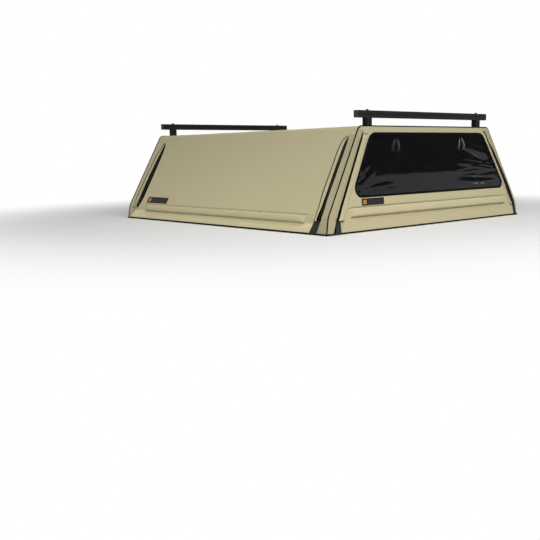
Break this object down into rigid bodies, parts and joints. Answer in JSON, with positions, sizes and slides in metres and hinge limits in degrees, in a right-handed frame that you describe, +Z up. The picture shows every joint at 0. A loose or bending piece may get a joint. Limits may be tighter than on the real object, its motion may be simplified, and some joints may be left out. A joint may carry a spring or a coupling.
{
  "type": "soft truck canopy",
  "caption": "Tan canvas pickup bed canopy with fold-up side and rear doors, tinted rear window, black rail frame and load bars on posts above the roof.",
  "frame": {"origin": "middle of the base, on the surface that the base seals stand on", "axes": "+X to the right side of the vehicle, +Y forward to the cab, +Z up"},
  "size_m": [1.836, 2.04, 0.672],
  "materials": {
    "sand_canvas": "coated cotton-polyester canvas, fine plain weave, matt",
    "tinted_vinyl": "flexible window vinyl, black tint, glossy and slightly wavy",
    "black_tape": "black woven zip tape and bound edges",
    "seal_rubber": "matt black foam rubber",
    "frame_black": "aluminium rail, satin black powder coat",
    "bar_black": "slotted aluminium bar, satin black anodised",
    "cap_black": "moulded black end cap"
  },
  "bodies": {
    "canopy": {"roof_skin": "sand_canvas", "right_rear_corner_skin": "sand_canvas", "left_rear_corner_skin": "sand_canvas", "right_front_corner_skin": "sand_canvas", "left_front_corner_skin": "sand_canvas", "front_panel": "sand_canvas", "front_window": "tinted_vinyl", "right_side_zips": "black_tape", "left_side_zips": "black_tape", "rear_zips": "black_tape", "right_front_side_flap": "sand_canvas", "left_front_side_flap": "sand_canvas", "edge_piping": "black_tape", "right_base_rail": "frame_black", "left_base_rail": "frame_black", "front_base_rail": "frame_black", "base_seal": "seal_rubber", "right_rear_corner_post": "frame_black", "left_rear_corner_post": "frame_black", "right_front_corner_post": "frame_black", "left_front_corner_post": "frame_black", "right_eave_rail": "frame_black", "left_eave_rail": "frame_black", "rear_header": "frame_black", "front_header": "frame_black", "roof_bows": "frame_black", "corner_gussets": "frame_black", "right_rear_bar_post": "bar_black", "left_rear_bar_post": "bar_black", "right_front_bar_post": "bar_black", "left_front_bar_post": "bar_black", "rear_load_bar": "bar_black", "front_load_bar": "bar_black", "rear_bar_caps": "cap_black", "front_bar_caps": "cap_black"},
    "right_door": {"right_side_door": "sand_canvas", "right_rear_side_flap": "sand_canvas", "right_rod_pocket": "sand_canvas"},
    "left_door": {"left_side_door": "sand_canvas", "left_rear_side_flap": "sand_canvas", "left_rod_pocket": "sand_canvas"},
    "rear_hatch": {"rear_door": "sand_canvas", "rear_window": "tinted_vinyl", "rear_door_seal": "seal_rubber", "rear_door_flaps": "sand_canvas", "rear_rod_pocket": "sand_canvas"}
  },
  "joints": [
    {"name": "right_door_fold", "type": "hinge", "parent": "canopy", "child": "right_door", "pos_m": [0.64204, 0, 0.535], "axis": [0, -1, 0], "range_deg": [0, 85]},
    {"name": "left_door_fold", "type": "hinge", "parent": "canopy", "child": "left_door", "pos_m": [-0.64204, 0, 0.535], "axis": [0, 1, 0], "range_deg": [0, 85]},
    {"name": "rear_hatch_fold", "type": "hinge", "parent": "canopy", "child": "rear_hatch", "pos_m": [0, -0.9746, 0.565], "axis": [-1, 0, 0], "range_deg": [0, 90]}
  ]
}
